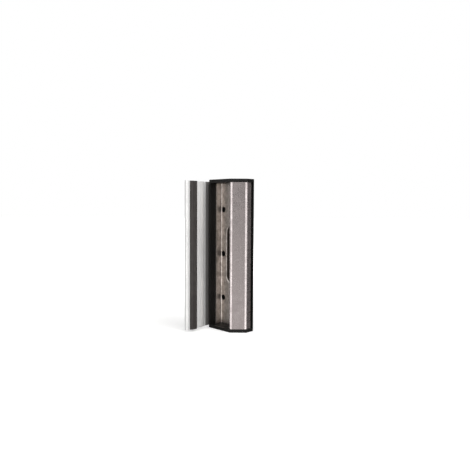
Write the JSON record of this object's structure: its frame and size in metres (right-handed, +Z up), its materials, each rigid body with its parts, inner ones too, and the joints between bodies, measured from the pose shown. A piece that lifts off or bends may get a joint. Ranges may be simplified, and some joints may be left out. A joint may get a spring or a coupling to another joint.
{
  "type": "electric door strike",
  "caption": "Surface-mounted electric gate strike: black tray and caps, stainless keeper that swings open when a solenoid pin releases it, and a stop wing with a rubber strip.",
  "frame": {"origin": "centre of the flat mounting face at half height", "axes": "+Y out of the mounting face into the post, -Y towards the gate, +X to the side the gate opens to, +Z up along the strike"},
  "size_m": [0.0519, 0.0567, 0.17],
  "materials": {
    "black_coat": "fine satin powder coat",
    "black_cap": "satin cast surface",
    "stainless_plate": "mill finish, mottled",
    "stainless_jaw": "satin, brushed along its length",
    "anodised_aluminium": "satin anodised extrusion",
    "strip_rubber": "matt extruded rubber",
    "buffer_rubber": "matt",
    "black_screw": "black oxide",
    "stainless_screw": "bright",
    "ground_steel": "ground",
    "hard_steel": "hardened and ground",
    "spring_wire": "drawn spring wire",
    "zinc_steel": "zinc plated",
    "bobbin_plastic": "natural nylon",
    "winding": "enamelled copper wire",
    "bronze": "sintered",
    "brass_sleeve": "turned",
    "cover_plastic": "fine moulded texture",
    "terminal_plastic": "moulded",
    "lead_red": "insulation",
    "lead_black": "insulation"
  },
  "bodies": {
    "root": {"base_tray": "black_coat", "floor_plate": "stainless_plate", "end_cap_top": "black_cap", "end_cap_bottom": "black_cap", "cap_screws_top": "black_screw", "cap_screws_bottom": "black_screw", "stop_wing": "anodised_aluminium", "wing_screws": "stainless_screw", "stop_strip": "strip_rubber", "keeper_pivot_pins": "ground_steel", "keeper_buffers": "buffer_rubber", "keeper_torsion_spring": "spring_wire", "solenoid_yoke": "zinc_steel", "solenoid_pole": "ground_steel", "solenoid_bobbin": "bobbin_plastic", "solenoid_coil": "winding", "plunger_return_spring": "spring_wire", "guide_bush": "bronze", "mechanism_bracket": "zinc_steel", "bracket_screws": "stainless_screw", "solenoid_screws": "stainless_screw", "mechanism_cover": "cover_plastic", "terminal_cover": "cover_plastic", "cover_screws": "stainless_screw", "terminal_block": "terminal_plastic", "terminal_clamps": "brass_sleeve", "terminal_screws": "stainless_screw", "coil_lead_red": "lead_red", "coil_lead_black": "lead_black", "cable_grommet": "buffer_rubber"},
    "keeper": {"keeper_jaw": "stainless_jaw"},
    "plunger": {"solenoid_plunger": "ground_steel", "locking_pin": "hard_steel"}
  },
  "joints": [
    {"name": "keeper_swing", "type": "hinge", "parent": "root", "child": "keeper", "pos_m": [0.0198, -0.0068, 0], "axis": [0, 0, 1], "range_deg": [0, 115], "stiffness_Nm_per_rad": 0.01, "springref_deg": -28.65, "deforming": ["keeper_torsion_spring"]},
    {"name": "pin_slide", "type": "slide", "parent": "root", "child": "plunger", "axis": [0, 0, -1], "range_m": [0, 0.0031], "stiffness_N_per_m": 150, "springref_m": -0.004, "deforming": ["plunger_return_spring"]}
  ]
}
